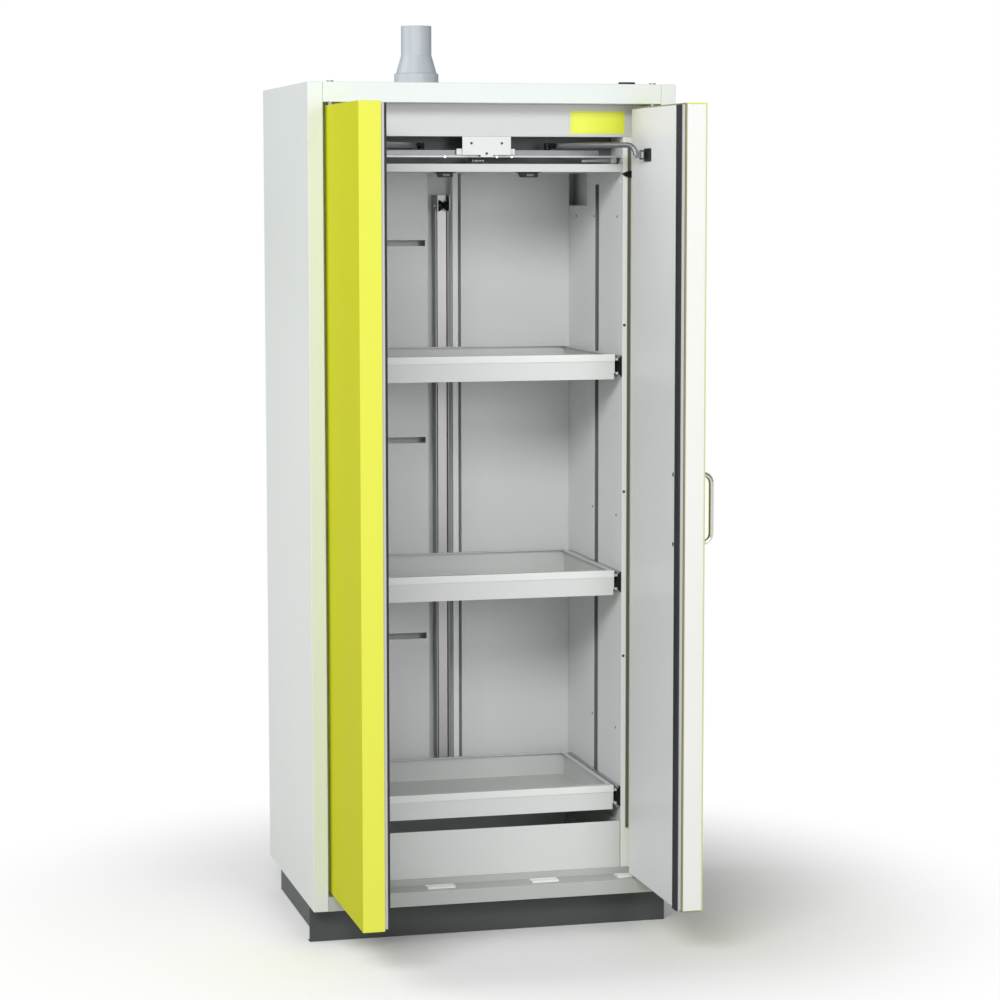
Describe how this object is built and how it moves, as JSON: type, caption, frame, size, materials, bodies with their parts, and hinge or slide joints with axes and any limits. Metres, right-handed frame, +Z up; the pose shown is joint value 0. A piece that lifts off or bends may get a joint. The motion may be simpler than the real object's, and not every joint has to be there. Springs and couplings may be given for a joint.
{
  "type": "fireproof safety cabinet",
  "caption": "Tall fire-rated storage cabinet with two insulated wing doors, pull-out trays, a bottom sump, a door closer rail and a top exhaust spigot.",
  "frame": {"origin": "on the floor, under the middle of the casing's footprint", "axes": "+X to the right as seen from the front, +Y towards the back, so the doors face -Y, and +Z up. Both doors are wide open at rest, as in the picture"},
  "size_m": [0.896, 1.0015, 2.216],
  "materials": {
    "casing_paint": "light grey powder coat, fine grain, satin",
    "door_paint": "yellow-green powder coat, satin",
    "inner_paint": "cool white coat, satin",
    "plinth_paint": "anthracite powder coat, matte",
    "board": "light grey laminate, matte",
    "insulation": "raw mineral board, rough",
    "dark_sheet": "dark grey, matte",
    "zinc_steel": "bright zinc plate",
    "bright_steel": "bright rolled steel",
    "black_plastic": "moulded black, fine grain",
    "black_seal": "near-black seal strip",
    "olive_seal": "dark olive swelling strip",
    "spigot_plastic": "light blue-grey moulding",
    "edge_board": "off-white edge, matte"
  },
  "bodies": {
    "casing": {"base_panel": "casing_paint", "top_panel": "casing_paint", "back_wall": "casing_paint", "left_side_wall": "casing_paint", "right_side_wall": "casing_paint", "header_panel": "casing_paint", "ceiling_panel": "casing_paint", "ceiling_core": "insulation", "plinth_front": "plinth_paint", "plinth_left": "plinth_paint", "plinth_right": "plinth_paint", "left_liner": "board", "right_liner": "board", "duct_panel": "board", "rear_panel": "board", "guide_channel": "zinc_steel", "guide_tube": "bright_steel", "pulley_axle": "zinc_steel", "exhaust_spigot": "spigot_plastic", "mechanism_backplate": "dark_sheet", "rail_carrier": "bright_steel", "guide_rail": "zinc_steel", "centre_bracket": "bright_steel", "release_latch": "black_plastic", "left_frame_gasket": "olive_seal", "right_frame_gasket": "olive_seal", "left_top_pivot": "zinc_steel", "right_top_pivot": "zinc_steel", "left_bottom_pivot": "zinc_steel", "right_bottom_pivot": "zinc_steel", "left_outer_slide_1": "zinc_steel", "right_outer_slide_1": "zinc_steel", "left_outer_slide_2": "zinc_steel", "right_outer_slide_2": "zinc_steel", "left_outer_slide_3": "zinc_steel", "right_outer_slide_3": "zinc_steel"},
    "left_door": {"left_door_shell": "door_paint", "left_door_plate": "inner_paint", "left_door_seal": "black_seal", "left_arm_bracket": "zinc_steel"},
    "right_door": {"right_door_shell": "door_paint", "right_door_plate": "inner_paint", "right_door_seal": "black_seal", "right_arm_bracket": "zinc_steel", "edge_strip": "edge_board", "door_handle": "zinc_steel"},
    "left_arm": {"left_closer_arm": "zinc_steel"},
    "right_arm": {"right_closer_arm": "zinc_steel"},
    "tray_1": {"tray_1": "casing_paint"},
    "tray_2": {"tray_2": "casing_paint"},
    "tray_3": {"tray_3": "casing_paint"},
    "slide_runners_1": {"left_middle_slide_1": "zinc_steel", "right_middle_slide_1": "zinc_steel"},
    "slide_runners_2": {"left_middle_slide_2": "zinc_steel", "right_middle_slide_2": "zinc_steel"},
    "slide_runners_3": {"left_middle_slide_3": "zinc_steel", "right_middle_slide_3": "zinc_steel"},
    "sump": {"sump": "casing_paint"},
    "pulley": {"pulley": "black_plastic"},
    "release_lever": {"release_lever": "zinc_steel"}
  },
  "joints": [
    {"name": "left_door_hinge", "type": "hinge", "parent": "casing", "child": "left_door", "pos_m": [-0.3925, -0.3005, 1.066], "axis": [0, 0, -1], "range_deg": [-90, 0]},
    {"name": "right_door_hinge", "type": "hinge", "parent": "casing", "child": "right_door", "pos_m": [0.3925, -0.3005, 1.066], "axis": [0, 0, 1], "range_deg": [-90, 0]},
    {"name": "left_arm_pivot", "type": "hinge", "parent": "left_door", "child": "left_arm", "pos_m": [-0.335, -0.412, 1.889], "axis": [0, 0, -1], "range_deg": [0, 132]},
    {"name": "right_arm_pivot", "type": "hinge", "parent": "right_door", "child": "right_arm", "pos_m": [0.335, -0.412, 1.889], "axis": [0, 0, 1], "range_deg": [0, 132]},
    {"name": "tray_1_slide", "type": "slide", "parent": "casing", "child": "tray_1", "axis": [0, -1, 0], "range_m": [0, 0.44]},
    {"name": "tray_2_slide", "type": "slide", "parent": "casing", "child": "tray_2", "axis": [0, -1, 0], "range_m": [0, 0.44]},
    {"name": "tray_3_slide", "type": "slide", "parent": "casing", "child": "tray_3", "axis": [0, -1, 0], "range_m": [0, 0.44]},
    {"name": "slide_runners_1_slide", "type": "slide", "parent": "casing", "child": "slide_runners_1", "axis": [0, -1, 0], "range_m": [0, 0.22]},
    {"name": "slide_runners_2_slide", "type": "slide", "parent": "casing", "child": "slide_runners_2", "axis": [0, -1, 0], "range_m": [0, 0.22]},
    {"name": "slide_runners_3_slide", "type": "slide", "parent": "casing", "child": "slide_runners_3", "axis": [0, -1, 0], "range_m": [0, 0.22]},
    {"name": "sump_slide", "type": "slide", "parent": "casing", "child": "sump", "axis": [0, -1, 0], "range_m": [0, 0.3]},
    {"name": "pulley_spin", "type": "hinge", "parent": "casing", "child": "pulley", "pos_m": [0, 0.228, 1.768], "axis": [1, 0, 0], "continuous": true},
    {"name": "release_lever_pivot", "type": "hinge", "parent": "casing", "child": "release_lever", "pos_m": [0.318, -0.223, 1.878], "axis": [0, 1, 0], "range_deg": [0, 3.5]}
  ],
  "couplings": [
    {"joint": "left_arm_pivot", "follows": "left_door_hinge", "ratio": -1.4525},
    {"joint": "right_arm_pivot", "follows": "right_door_hinge", "ratio": -1.4525},
    {"joint": "slide_runners_1_slide", "follows": "tray_1_slide", "ratio": 0.5},
    {"joint": "slide_runners_2_slide", "follows": "tray_2_slide", "ratio": 0.5},
    {"joint": "slide_runners_3_slide", "follows": "tray_3_slide", "ratio": 0.5}
  ]
}
